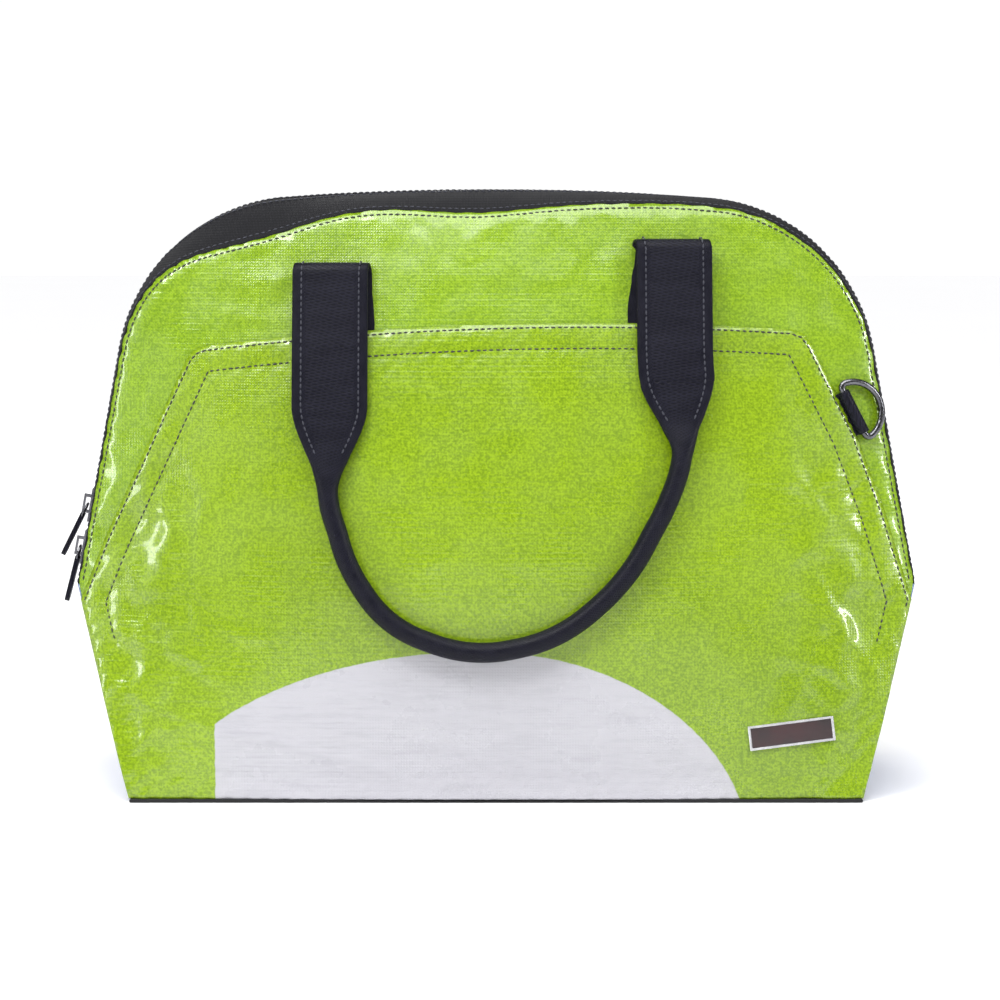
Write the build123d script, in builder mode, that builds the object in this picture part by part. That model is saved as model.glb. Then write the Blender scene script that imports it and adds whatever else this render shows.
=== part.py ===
"""Zip-top handbag of printed vinyl with two rolled leather handles.

Millimetres. +Z is up, the front faces -Y, and the origin is the centre of the base on the floor.
"""
from build123d import *
import math
import os

# ---- the body ----
BASE_HALF = 190.0        # half length of the base
SEAM_Z = 110.0           # the zip strips end here and the end gussets begin
WAIST_HALF = 219.0       # half width at that height, the widest
SHOULDER_HALF = 196.3    # half width where the straight side ends
SHOULDER_Z = 232.0
SHOULDER_R = 88.0
CREST_Z = 308.0          # top of the front and back panels
CROWN_SIDE = 3.0         # how far the zip stands out of the panels' edges at the sides
CROWN_TOP = 6.5          # and at the top
TOP_HALF_DEPTH = 42.0    # half depth along the arch
# the padded form of the two faces: height, half depth in the middle, half depth at the outline,
# half width of the outline
FORM = [
    (0.0, 79.0, 77.0, 190.0),
    (60.0, 86.0, 65.0, 205.0),
    (130.0, 85.0, 47.0, 216.0),
    (200.0, 76.0, 43.0, 202.0),
    (265.0, 59.0, 42.0, 177.0),
    (330.0, 36.0, 30.0, 177.0),
]
FORM_REACH = 236.0       # the form is this much wider than the bag on each side
PANEL_T = 1.3            # yoke thickness
OVERLAY_T = 2.3          # overlay with its folded seam allowance
LINING_T = 0.5
LINING_Z = 5.0           # the lining's floor, over the board
BASE_T = 1.6
BOARD_T = 2.5

# ---- the zip ----
ZIP_HALF = 13.0          # half width of the zip that shows between the strips
TAPE_HALF = 12.9         # half width of the tape that shows
TAPE_UNDER = 1.0         # the tape lies this far under the strips' outer faces
TAPE_T = 0.8
TOOTH_PITCH = 3.8        # along one chain; the two chains mesh half a pitch apart
TOOTH = (1.4, 4.3, 3.0)  # along the chain, across it, thick
CHAIN_HALF = 3.9         # half width of the two meshed chains
STRIP_T = 1.2

# ---- sliders and pulls ----
SLIDER = (18.0, 12.0)    # length, width
SLIDER_PLATE = 1.3
CHANNEL = 3.9            # clear height of the slider's channel over the teeth
SLOT = 1.6               # clear height of the tape slots at its edges
LOWER_AT = 14.0          # distance of each slider's middle up the straight side of the zip
UPPER_AT = 37.0
BRIDGE_HOLE = 2.9        # clear height under the slider's bridge
WIRE = 1.3               # wire of the pull ring
RING_R = 4.2             # middle radius of the pull ring
TAB = (25.0, 7.5, 2.4)   # pull tab: length, width, thickness

# ---- handles ----
STRAP_T = 2.0
LEFT_ROOT = (-101.0, -62.0)      # the straps' sides, sewn under the overlay's top edge
RIGHT_ROOT = (66.5, 105.5)
ROOT_Z = 224.0                   # lower end of both roots
LEFT_HANGING = (-105.0, -66.0)   # the same straps where they hang in front
RIGHT_HANGING = (73.0, 112.0)
FOLD_GAP = 0.4                   # each strap layer stops this far under the fold's axis
FOLD_R = 4.0             # middle radius of the strap's fold at the crest
LEFT_CREST = (-84.0, 278.0)
RIGHT_CREST = (92.0, 290.0)
GRIP_R = 5.0
CORE_R = 3.4
STRAP_OUT = 9.0          # how far the hanging strap's middle lies in front of the form

# ---- small metal ----
RING_OUTER = 17.5        # D-ring
RING_WIRE = 3.6
RING_AT = (182.0, 198.5)     # middle of its bar, in the front view
RING_POINTS_TO = 27.5        # degrees above +X
PLATE = (45.0, 12.7, 1.6)
PLATE_AT = (152.4, 35.9)
PLATE_TURN = 6.7

os.makedirs("parts", exist_ok=True)


def save(name, part):
    part.label = name
    export_step(part, f"parts/{name}.step")


def front_plane(y):
    """The front view's plane at depth y, with X to the right and Z up."""
    return Plane((0, y, 0), x_dir=(1, 0, 0), z_dir=(0, -1, 0))


# ---- the bag's outline and form ----
def outline(y, grow=0.0, inset=0.0):
    """Front outline on the plane at y; grow is 1 at the zip's line and 0 at the panels' edge."""
    side = CROWN_SIDE * grow - inset
    top = CROWN_TOP * grow - inset
    base = BASE_HALF - inset
    waist = Vector(WAIST_HALF + side, SEAM_Z)
    shoulder = Vector(SHOULDER_HALF + side, SHOULDER_Z)
    lean = (shoulder - waist).normalized()
    # the shoulder's arc and the long top arc meet at a tangent
    turn = SHOULDER_R - inset
    middle = shoulder + Vector(-lean.Y, lean.X) * turn
    rise = CREST_Z + top - middle.Y
    top_radius = (middle.X**2 + rise**2 - turn**2) / (2 * (rise - turn))
    top_middle = Vector(0, CREST_Z + top - top_radius)
    meet = middle + (middle - top_middle).normalized() * turn
    with BuildSketch(front_plane(y)) as face:
        with BuildLine():
            Line((-base, 0), (base, 0))
            ThreePointArc(meet, (0, CREST_Z + top), (-meet.X, meet.Y))
            for sign in (1, -1):
                Line((sign * base, 0), (sign * waist.X, waist.Y))
                Line((sign * waist.X, waist.Y), (sign * shoulder.X, shoulder.Y))
                TangentArc((sign * shoulder.X, shoulder.Y), (sign * meet.X, meet.Y),
                           tangent=(sign * lean.X, lean.Y))
        make_face()
    return face.sketch


def form_section(height, middle, edge, width, grow):
    """Horizontal section of the padded form: two shallow arcs, front and back."""
    sag = middle - edge
    radius = (width**2 + sag**2) / (2 * sag)
    end = middle + grow - radius + math.sqrt(radius**2 - FORM_REACH**2)
    with BuildSketch(Plane.XY.offset(height)) as face:
        with BuildLine():
            ThreePointArc((-FORM_REACH, -end), (0, -middle - grow), (FORM_REACH, -end))
            Line((FORM_REACH, -end), (FORM_REACH, end))
            ThreePointArc((FORM_REACH, end), (0, middle + grow), (-FORM_REACH, end))
            Line((-FORM_REACH, end), (-FORM_REACH, -end))
        make_face()
    return face.sketch


def padded_form(grow):
    """Everything between the front and back faces, each moved out by grow."""
    with BuildPart() as form:
        loft([form_section(*row, grow) for row in FORM])
    return form.part


def sheet_form(inner, outer):
    """A sheet that follows both faces, between two distances from the form."""
    with BuildPart() as sheet:
        add(padded_form(outer))
        add(padded_form(inner), mode=Mode.SUBTRACT)
    return sheet.part


FACE = padded_form(0.0)


def face_point(x, z, out=0.0):
    """The point of the front face at x, z, moved out along its normal."""
    hit, normal = sorted(FACE.find_intersection_points(Axis((x, -300, z), (0, 1, 0))),
                         key=lambda pair: pair[0].Y)[0]
    return hit + normal.normalized() * out, normal.normalized()


def block(x_range, y_range, z_range):
    """A box between two limits along each axis."""
    size = [high - low for low, high in (x_range, y_range, z_range)]
    middle = [(high + low) / 2 for low, high in (x_range, y_range, z_range)]
    with BuildPart() as box:
        with Locations(tuple(middle)):
            Box(*size)
    return box.part


WIDE = (-300, 300)
BACK = 150.0             # a plane clear of the bag, behind it
FRONT_HALF = block(WIDE, (-150, -5), (BASE_T + 0.2, 340))


# ---- front and back panels ----
def overlay_area(inset):
    """Front area below the overlay's upper edge, with that edge moved inwards by inset."""
    corner_left = (-158 + inset, 234 - inset)
    corner_right = (160 - inset, 243 - inset)
    with BuildSketch(front_plane(BACK)) as area:
        with BuildLine():
            Polyline(corner_left, (-204 + inset, 135 - inset), (-214, 104 - inset),
                     (-260, 80 - inset), (-260, -20), (260, -20), (260, 80 - inset),
                     (214, 104 - inset), (203 - inset, 148 - inset), (187 - inset, 190 - inset),
                     corner_right)
            ThreePointArc(corner_right, (0, 247 - inset), corner_left)
        make_face()
        fillet(area.vertices().sort_by(Axis.Y)[-2:], radius=12)
    return area.sketch


def front_view_block(area):
    """An area on the plane behind the bag, extruded forward right through it."""
    with BuildPart() as through:
        extrude(area, amount=2 * BACK, dir=(0, -1, 0))
    return through.part


BODY_BLOCK = front_view_block(outline(BACK))
OVERLAY_BLOCK = front_view_block(overlay_area(0))

with BuildPart() as yoke:
    add(sheet_form(-PANEL_T, 0))
    add(BODY_BLOCK, mode=Mode.INTERSECT)
    add(FRONT_HALF, mode=Mode.INTERSECT)
    add(front_view_block(overlay_area(18)), mode=Mode.SUBTRACT)

with BuildPart() as overlay:
    add(sheet_form(0.1, OVERLAY_T))
    add(BODY_BLOCK, mode=Mode.INTERSECT)
    add(FRONT_HALF, mode=Mode.INTERSECT)
    add(OVERLAY_BLOCK, mode=Mode.INTERSECT)


# ---- handles ----
def crest_point(at):
    """The fold's axis over a strap, in front of the yoke."""
    point, _ = face_point(*at)
    return Vector(point.X, point.Y - STRAP_OUT + FOLD_R, point.Z)


CREST_LEFT = crest_point(LEFT_CREST)
CREST_RIGHT = crest_point(RIGHT_CREST)


def crest_z(x):
    """Height of the fold's axis over x."""
    run = (x - CREST_LEFT.X) / (CREST_RIGHT.X - CREST_LEFT.X)
    return CREST_LEFT.Z + run * (CREST_RIGHT.Z - CREST_LEFT.Z)


def anchor(low_x, high_x):
    """The strap from under the overlay's seam up to the fold."""
    with BuildSketch(front_plane(BACK)) as area:
        with BuildLine():
            Polyline((low_x, ROOT_Z), (high_x, ROOT_Z), (high_x, crest_z(high_x) - FOLD_GAP),
                     (low_x, crest_z(low_x) - FOLD_GAP), close=True)
        make_face()
    with BuildPart() as strap:
        add(sheet_form(0.1, 0.1 + STRAP_T - 0.2))
        add(front_view_block(area.sketch), mode=Mode.INTERSECT)
        add(FRONT_HALF, mode=Mode.INTERSECT)
    return strap.part


anchors = {"left": anchor(*LEFT_ROOT), "right": anchor(*RIGHT_ROOT)}

with BuildPart() as overlay_cut:
    add(overlay.part)
    for low, high in (LEFT_ROOT, RIGHT_ROOT):
        with BuildPart(mode=Mode.PRIVATE) as under:
            add(sheet_form(0.0, STRAP_T + 0.05))
            add(block((low - 0.3, high + 0.3), (-150, -5), (ROOT_Z - 1, 260)),
                mode=Mode.INTERSECT)
        add(under.part, mode=Mode.SUBTRACT)


def strap_area(low_x, high_x, taper_z, roll_z, roll_x):
    """Front view of a hanging strap that narrows into the roll."""
    half = GRIP_R - 0.6
    with BuildSketch(front_plane(BACK)) as area:
        with BuildLine():
            Polyline((low_x, crest_z(low_x) - FOLD_GAP), (low_x, taper_z),
                     (roll_x - half, roll_z), (roll_x + half, roll_z), (high_x, taper_z),
                     (high_x, crest_z(high_x) - FOLD_GAP), close=True)
        make_face()
    return area.sketch


# the roll hangs in a plane that leans back with the bag's face
GRIP_LOW = Vector(0, -97.2, 76.0)
GRIP_LEAN = 0.141
GRIP_PLANE = Plane(GRIP_LOW, x_dir=(1, 0, 0), z_dir=(0, -1, GRIP_LEAN))
GRIP_ROUTE = [(-86, 98), (-79.5, 53), (-56, 18), (-13, 2.0), (32, 11), (68, 42), (89, 84),
              (97, 119)]


def fillet_radii(points):
    """Radius for each corner: 0.45 of the shorter run over the tangent of half the turn."""
    radii = []
    for before, corner, after in zip(points, points[1:], points[2:]):
        first = Vector(*corner) - Vector(*before)
        second = Vector(*after) - Vector(*corner)
        half_turn = math.radians(first.get_angle(second) / 2)
        radii.append(0.45 * min(first.length, second.length) / math.tan(half_turn))
    return radii


def roll(radius):
    """A solid rod of the given radius along the grip's route."""
    with BuildPart() as rod:
        with BuildLine(GRIP_PLANE) as path:
            FilletPolyline(*GRIP_ROUTE, radius=fillet_radii(GRIP_ROUTE))
        with BuildSketch(Plane(path.line @ 0, z_dir=path.line % 0)):
            Circle(radius)
        sweep(path=path.line)
    return rod.part


print("grip radii", [round(r, 1) for r in fillet_radii(GRIP_ROUTE)])
with BuildPart() as core:
    add(roll(CORE_R))

with BuildPart() as handle:
    add(sheet_form(STRAP_OUT - STRAP_T / 2, STRAP_OUT + STRAP_T / 2))
    with BuildPart(mode=Mode.PRIVATE) as strap_fronts:
        add(front_view_block(strap_area(*LEFT_HANGING, 203, 163, -85)))
        add(front_view_block(strap_area(*RIGHT_HANGING, 218, 186, 96)))
    add(strap_fronts.part, mode=Mode.INTERSECT)
    add(FRONT_HALF, mode=Mode.INTERSECT)
    add(roll(GRIP_R))
    add(roll(CORE_R + 0.05), mode=Mode.SUBTRACT)

# ---- zip strips, end gussets, lining ----
def crowned(inset):
    """The gusset's outer form, ruled between outlines that stand out towards the zip."""
    steps = [(-96, 0), (-TOP_HALF_DEPTH, 0), (-ZIP_HALF, 1), (ZIP_HALF, 1), (TOP_HALF_DEPTH, 0),
             (96, 0)]
    with BuildPart() as solid:
        loft([outline(y, grow, inset) for y, grow in steps], ruled=True)
    return solid.part


with BuildPart() as gusset_shell:
    add(crowned(0))
    add(crowned(STRIP_T), mode=Mode.SUBTRACT)
    add(padded_form(-PANEL_T - 0.05), mode=Mode.INTERSECT)

with BuildPart() as front_strip:
    add(gusset_shell.part)
    add(block(WIDE, (-70, -ZIP_HALF), (SEAM_Z, 340)), mode=Mode.INTERSECT)

with BuildPart() as end_gusset:
    add(gusset_shell.part)
    add(block((BASE_HALF - 20, 300), (-120, 120), (BASE_T + 0.2, SEAM_Z - 0.2)),
        mode=Mode.INTERSECT)

LINING_OUT = STRIP_T + 0.3
with BuildPart() as room:
    add(crowned(LINING_OUT + LINING_T))
    add(padded_form(-PANEL_T - 0.3 - LINING_T), mode=Mode.INTERSECT)
    add(block(WIDE, (-120, 120), (LINING_Z + LINING_T, 340)), mode=Mode.INTERSECT)

with BuildPart() as lining:
    add(crowned(LINING_OUT))
    add(padded_form(-PANEL_T - 0.3), mode=Mode.INTERSECT)
    add(block(WIDE, (-120, 120), (LINING_Z, 340)), mode=Mode.INTERSECT)
    add(room.part, mode=Mode.SUBTRACT)
    add(block(WIDE, (-ZIP_HALF - 1, ZIP_HALF + 1), (SEAM_Z - 6, 340)), mode=Mode.SUBTRACT)


# ---- zip tape, teeth and stops ----
def arch_band(inset, thick):
    """A band under the zip's line, as wide as the zip."""
    with BuildPart() as inner:
        extrude(outline(TAPE_HALF, 1.0, inset + thick), amount=2 * TAPE_HALF, dir=(0, -1, 0))
    with BuildPart() as band:
        extrude(outline(TAPE_HALF, 1.0, inset), amount=2 * TAPE_HALF, dir=(0, -1, 0))
        add(inner.part, mode=Mode.SUBTRACT)
        add(block(WIDE, (-TAPE_HALF, TAPE_HALF), (SEAM_Z, 340)), mode=Mode.INTERSECT)
    return band.part


with BuildPart() as front_tape:
    add(arch_band(TAPE_UNDER, TAPE_T))
    add(block(WIDE, (-30, -CHAIN_HALF - 0.05), (SEAM_Z, 340)), mode=Mode.INTERSECT)

CHAIN_INSET = TAPE_UNDER + TAPE_T / 2
ZIP = Wire([edge for edge in outline(0, 1.0, CHAIN_INSET).edges()
            if edge.center().Z > SEAM_Z + 1])
print("zip length", round(ZIP.length, 1))


def along_zip(distance, side=0.0):
    """Plane on the zip: x along it, y to the back, z out of the bag; side shifts it in y."""
    point = ZIP.position_at(distance, position_mode=PositionMode.LENGTH)
    along = ZIP.tangent_at(distance, position_mode=PositionMode.LENGTH)
    if along.cross(Vector(0, 1, 0)).dot(point - Vector(0, 0, 150)) < 0:
        along = -along
    return Plane(point + Vector(0, side, 0), x_dir=along, z_dir=along.cross(Vector(0, 1, 0)))


def chain(side, first):
    """One chain's teeth, each a small block whose head reaches past the middle."""
    count = int((ZIP.length - 2 * first) / TOOTH_PITCH)
    places = [along_zip(first + TOOTH_PITCH * i, side).location for i in range(count)]
    with BuildPart() as teeth:
        with Locations(*places):
            Box(*TOOTH)
    return teeth.part


TOOTH_MIDDLE = CHAIN_HALF - TOOTH[1] / 2
front_teeth = chain(-TOOTH_MIDDLE, 4.0)
back_teeth = chain(TOOTH_MIDDLE, 4.0 + TOOTH_PITCH / 2)

with BuildPart() as end_stops:
    with Locations(along_zip(1.4).location, along_zip(ZIP.length - 1.4).location):
        Box(2.2, 2 * CHAIN_HALF, 3.4)

# ---- sliders and pulls, at the left end of the zip ----
RUN_LOW = Vector(-(WAIST_HALF + CROWN_SIDE - CHAIN_INSET), 0, SEAM_Z)
RUN_HIGH = Vector(-(SHOULDER_HALF + CROWN_SIDE - CHAIN_INSET), 0, SHOULDER_Z)
RUN_UP = (RUN_HIGH - RUN_LOW).normalized()
RUN_OUT = RUN_UP.cross(Vector(0, 1, 0))
PLATE_OUT = CHANNEL / 2 + SLIDER_PLATE
PIVOT_OUT = PLATE_OUT + BRIDGE_HOLE / 2


def slider(at):
    """A slider's two flanged plates over and under the chains, and the bridge for its pull."""
    length, width = SLIDER
    lip = (CHANNEL - SLOT) / 2
    with BuildPart(Plane(RUN_LOW + RUN_UP * at, x_dir=RUN_UP, z_dir=RUN_OUT)) as body:
        for side in (-1, 1):
            with Locations((0, 0, side * (CHANNEL + SLIDER_PLATE) / 2)):
                Box(length, width, SLIDER_PLATE)
            with Locations((0, width / 2 - 0.6, side * (SLOT + lip) / 2),
                           (0, 0.6 - width / 2, side * (SLOT + lip) / 2)):
                Box(length, 1.2, lip)
        with Locations((0, 0, PLATE_OUT + (BRIDGE_HOLE + 1.2) / 2)):
            Box(10, 2.6, BRIDGE_HOLE + 1.2)
        with Locations((0, 0, PLATE_OUT + BRIDGE_HOLE / 2)):
            Box(7, 3, BRIDGE_HOLE, mode=Mode.SUBTRACT)
    return body.part


def pull_plane(at, lift):
    """Plane of a hanging pull: origin on its pivot, x down along it, y across."""
    pivot = RUN_LOW + RUN_UP * at + RUN_OUT * PIVOT_OUT
    angle = math.radians(lift)
    down = RUN_UP * -math.cos(angle) + RUN_OUT * math.sin(angle)
    return Plane(pivot, x_dir=down, z_dir=down.cross(Vector(0, 1, 0)))


def pull_ring(at, lift):
    with BuildPart(pull_plane(at, lift)) as ring:
        with Locations((RING_R, 0, 0)):
            Torus(RING_R, WIRE / 2)
    return ring.part


def pull_tab(at, lift):
    """A folded leather tab whose fold holds the ring's wire."""
    length, width, thick = TAB
    start = 2 * RING_R - 2.6
    with BuildPart(pull_plane(at, lift)) as tab:
        with BuildSketch(pull_plane(at, lift).offset(-thick / 2)):
            with Locations((start + (length - width / 2) / 2, 0)):
                Rectangle(length - width / 2, width)
            with Locations((start + length - width / 2, 0)):
                Circle(width / 2)
        extrude(amount=thick)
        with Locations((RING_R, 0, 0)):
            Torus(RING_R, WIRE / 2 + 0.25, mode=Mode.SUBTRACT)
    return max(tab.part.solids(), key=lambda solid: solid.volume)


UPPER_LIFT = 16.0        # the upper pull rests on the lower slider's bridge
LOWER_LIFT = 4.0

# ---- D-ring and its tab ----
ring_point, ring_normal = face_point(*RING_AT)
ring_tilt = math.radians(RING_POINTS_TO)
ring_out = Vector(math.cos(ring_tilt), 0, math.sin(ring_tilt))
ring_out = (ring_out - ring_normal * ring_out.dot(ring_normal)).normalized()
RING_LOOP = 3.0          # outer radius of the leather loop round the bar
RING_PLANE = Plane(ring_point + ring_normal * (RING_LOOP + 0.2) + ring_out * 3.6,
                   x_dir=ring_out, z_dir=ring_normal)
ring_middle = RING_OUTER - RING_WIRE / 2

with BuildSketch(RING_PLANE) as d_shape:
    Circle(ring_middle)
    with Locations((-ring_middle / 2, 0)):
        Rectangle(ring_middle, 2 * ring_middle, mode=Mode.SUBTRACT)
    fillet(d_shape.vertices(), radius=2.6)

D_PATH = d_shape.sketch.face().outer_wire()
with BuildPart() as d_ring:
    with BuildSketch(Plane(D_PATH @ 0, z_dir=D_PATH % 0)):
        Circle(RING_WIRE / 2)
    sweep(path=D_PATH)

with BuildPart(RING_PLANE) as ring_tab:
    with Locations(Location((0, 0, 0), (90, 0, 0))):
        Cylinder(RING_LOOP, 24)
    with Locations((-7, 0, -RING_LOOP + 0.55)):
        Box(14, 24, 1.1)
    with Locations(Location((0, 0, 0), (90, 0, 0))):
        Cylinder(RING_WIRE / 2 + 0.1, 26, mode=Mode.SUBTRACT)

with BuildPart(RING_PLANE) as tongue_room:
    with Locations((-11, 0, -RING_LOOP + 0.5)):
        Box(22, 24.4, 1.5)

with BuildPart() as front_overlay:
    add(overlay_cut.part)
    add(tongue_room.part, mode=Mode.SUBTRACT)
    with BuildPart(RING_PLANE, mode=Mode.PRIVATE) as loop_room:
        with Locations(Location((0, 0, 0), (90, 0, 0))):
            Cylinder(RING_LOOP + 0.2, 36)
    add(loop_room.part, mode=Mode.SUBTRACT)

# ---- name plate ----
plate_point, plate_normal = face_point(*PLATE_AT)
plate_tilt = math.radians(PLATE_TURN)
plate_along = Vector(math.cos(plate_tilt), 0, math.sin(plate_tilt))
plate_along = (plate_along - plate_normal * plate_along.dot(plate_normal)).normalized()
PLATE_PLANE = Plane(plate_point + plate_normal * (OVERLAY_T + 0.3), x_dir=plate_along,
                    z_dir=plate_normal)

with BuildPart(PLATE_PLANE) as plate_frame:
    with Locations((0, 0, PLATE[2] / 2)):
        Box(*PLATE)
    fillet(plate_frame.faces().sort_by(Axis.Y)[0].edges(), radius=0.5)
    with Locations((0, 0, PLATE[2] - 0.25)):
        Box(PLATE[0] - 2.4, PLATE[1] - 2.4, 0.9, mode=Mode.SUBTRACT)

with BuildPart(PLATE_PLANE) as plate_field:
    with Locations((0, 0, PLATE[2] - 0.5)):
        Box(PLATE[0] - 2.6, PLATE[1] - 2.6, 0.35)

with BuildPart(PLATE_PLANE) as plate_backing:
    with Locations((0, 0, -OVERLAY_T - 1.0)):
        Box(38, 9, 0.5)

# ---- base ----
with BuildPart() as base_panel:
    add(padded_form(OVERLAY_T - 0.4))
    add(block((-BASE_HALF, BASE_HALF), (-95, 95), (0, BASE_T)), mode=Mode.INTERSECT)

with BuildPart() as base_board:
    with Locations((0, 0, BASE_T + 0.2 + BOARD_T / 2)):
        Box(2 * BASE_HALF - 12, 142, BOARD_T)
    fillet(base_board.edges().filter_by(Axis.Z), radius=8)


# ---- writing the pieces ----
def turned(part):
    """The same piece on the back of the bag."""
    return part.rotate(Axis.Z, 180)


pairs = {
    "upper_panel": yoke.part,
    "overlay_panel": front_overlay.part,
    "zip_strip": front_strip.part,
    "zip_tape": front_tape.part,
    "strap_anchor_left": anchors["left"],
    "strap_anchor_right": anchors["right"],
    "handle_leather": handle.part,
    "handle_core": core.part,
    "d_ring": d_ring.part,
    "d_ring_tab": ring_tab.part,
}
for name, part in pairs.items():
    save("front_" + name, part)
    save("back_" + name, turned(part))

singles = {
    "front_zip_teeth": front_teeth,
    "back_zip_teeth": back_teeth,
    "zip_end_stops": end_stops.part,
    "right_end_gusset": end_gusset.part,
    "left_end_gusset": turned(end_gusset.part),
    "lining": lining.part,
    "base_panel": base_panel.part,
    "base_board": base_board.part,
    "name_plate_frame": plate_frame.part,
    "name_plate_field": plate_field.part,
    "name_plate_backing": plate_backing.part,
    "upper_slider": slider(UPPER_AT),
    "lower_slider": slider(LOWER_AT),
    "upper_pull_ring": pull_ring(UPPER_AT, UPPER_LIFT),
    "lower_pull_ring": pull_ring(LOWER_AT, LOWER_LIFT),
    "upper_pull_tab": pull_tab(UPPER_AT, UPPER_LIFT),
    "lower_pull_tab": pull_tab(LOWER_AT, LOWER_LIFT),
}
for name, part in singles.items():
    save(name, part)
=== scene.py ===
# %% Load the frame
import math
import bmesh
import bpy
from mathutils import Matrix, Vector, geometry, noise
from mathutils.bvhtree import BVHTree


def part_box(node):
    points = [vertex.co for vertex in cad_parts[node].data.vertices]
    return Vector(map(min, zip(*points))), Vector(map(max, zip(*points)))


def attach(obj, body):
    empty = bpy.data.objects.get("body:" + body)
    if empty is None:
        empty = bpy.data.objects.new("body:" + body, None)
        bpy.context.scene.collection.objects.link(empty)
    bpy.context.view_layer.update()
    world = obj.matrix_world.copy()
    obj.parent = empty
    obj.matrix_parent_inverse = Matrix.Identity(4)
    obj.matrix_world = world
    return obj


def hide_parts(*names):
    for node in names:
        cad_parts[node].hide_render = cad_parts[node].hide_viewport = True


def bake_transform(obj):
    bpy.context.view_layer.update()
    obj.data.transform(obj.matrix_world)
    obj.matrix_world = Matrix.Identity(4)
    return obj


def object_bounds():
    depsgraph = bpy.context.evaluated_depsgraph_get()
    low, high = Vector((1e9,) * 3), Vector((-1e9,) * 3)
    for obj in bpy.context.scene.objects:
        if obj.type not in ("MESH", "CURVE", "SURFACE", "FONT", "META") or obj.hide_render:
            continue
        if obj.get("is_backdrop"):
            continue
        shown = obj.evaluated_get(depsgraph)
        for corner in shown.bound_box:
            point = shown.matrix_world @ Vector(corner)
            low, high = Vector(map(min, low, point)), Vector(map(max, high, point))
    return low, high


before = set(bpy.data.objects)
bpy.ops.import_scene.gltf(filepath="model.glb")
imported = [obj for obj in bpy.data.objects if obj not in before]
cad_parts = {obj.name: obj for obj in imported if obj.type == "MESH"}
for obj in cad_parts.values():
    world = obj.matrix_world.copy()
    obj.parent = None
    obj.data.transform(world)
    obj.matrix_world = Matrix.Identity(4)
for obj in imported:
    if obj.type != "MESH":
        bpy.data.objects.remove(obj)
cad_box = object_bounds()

print("frame loaded,", len(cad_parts), "CAD nodes")

# %% [markdown]
# The camera stands almost two metres in front of the bag and a little above it, with a long lens,
# as for a catalogue picture: a long lens keeps the bag's upright sides upright. It aims at a point
# on the front face, half way up.

# %% Camera
MM = 0.001
FRONT_Y = -90 * MM               # the plane of the straps and the name plate
CAMERA_AWAY = 1.91
CAMERA_UP = math.radians(6.0)
SEEN_WIDTH = 0.511               # width that the picture shows on that plane

aim = Vector((2 * MM, FRONT_Y, 158.5 * MM))
camera_data = bpy.data.cameras.new("camera")
camera = bpy.data.objects.new("camera", camera_data)
bpy.context.scene.collection.objects.link(camera)
camera.location = aim + CAMERA_AWAY * Vector((0, -math.cos(CAMERA_UP), math.sin(CAMERA_UP)))
camera.rotation_euler = (aim - camera.location).to_track_quat("-Z", "Y").to_euler()
camera_data.sensor_width = 36
camera_data.lens = 36 * CAMERA_AWAY / SEEN_WIDTH
bpy.context.scene.camera = camera
bpy.context.scene.view_settings.view_transform = "Standard"
print("lens", round(camera_data.lens, 1), "mm")

# %% [markdown]
# Glossy vinyl shows its creases only when there is something bright to reflect, so small strong
# soft boxes stand at the left and the right, and a wide one over the front lights up the yoke. A
# wide soft sun from above whitens the floor evenly and leaves the shadow soft. The paper-white
# backdrop is what the camera sees of the world; the light that the world gives is weaker, so that
# black leather stays black.

# %% Lights and world
def soft_box(name, place, size, power):
    """A rectangular area light that faces the middle of the bag."""
    aimed_at = Vector((0, 0, 0.15))
    data = bpy.data.lights.new(name, "AREA")
    data.shape = "RECTANGLE"
    data.size = size[0]
    data.size_y = size[1]
    data.energy = power
    light = bpy.data.objects.new(name, data)
    bpy.context.scene.collection.objects.link(light)
    light.location = place
    light.rotation_euler = (aimed_at - light.location).to_track_quat("-Z", "Y").to_euler()


soft_box("light_left", (-1.15, -1.35, 1.35), (0.24, 0.24), 9)
soft_box("light_right", (1.5, -0.75, 0.75), (0.12, 0.7), 12)
soft_box("light_low_left", (-1.5, -0.9, 0.45), (0.16, 0.5), 5)
soft_box("light_front_top", (-0.75, -1.15, 1.75), (0.8, 0.3), 13)
soft_box("light_back", (-0.5, 2.0, 1.4), (1.0, 0.8), 11)
sun_data = bpy.data.lights.new("sun_soft", "SUN")
sun_data.energy = 3.1
sun_data.angle = math.radians(50)
sun = bpy.data.objects.new("sun_soft", sun_data)
bpy.context.scene.collection.objects.link(sun)
sun.rotation_euler = (math.radians(22), 0, 0)

world = bpy.data.worlds.new("world")
bpy.context.scene.world = world
world.use_nodes = True
world_nodes = world.node_tree.nodes
seen = world_nodes.new("ShaderNodeLightPath")
share = world_nodes.new("ShaderNodeMapRange")
share.inputs["To Min"].default_value = 0.20
share.inputs["To Max"].default_value = 1.02
world.node_tree.links.new(seen.outputs["Is Camera Ray"], share.inputs["Value"])
world.node_tree.links.new(share.outputs["Result"], world_nodes["Background"].inputs["Strength"])
world_nodes["Background"].inputs["Color"].default_value = (1, 1, 1, 1)
print("5 soft boxes, a soft sun and a pale world")

# %% [markdown]
# A finish is built from a few node helpers: a principled shader, noise and wave textures on
# object coordinates, mixing, ramps and bump. Small helpers keep each finish short enough to read.

# %% Node helpers
WAVE_SCALE = 0.314               # a wave texture's scale that gives bands one metre wide


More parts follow.
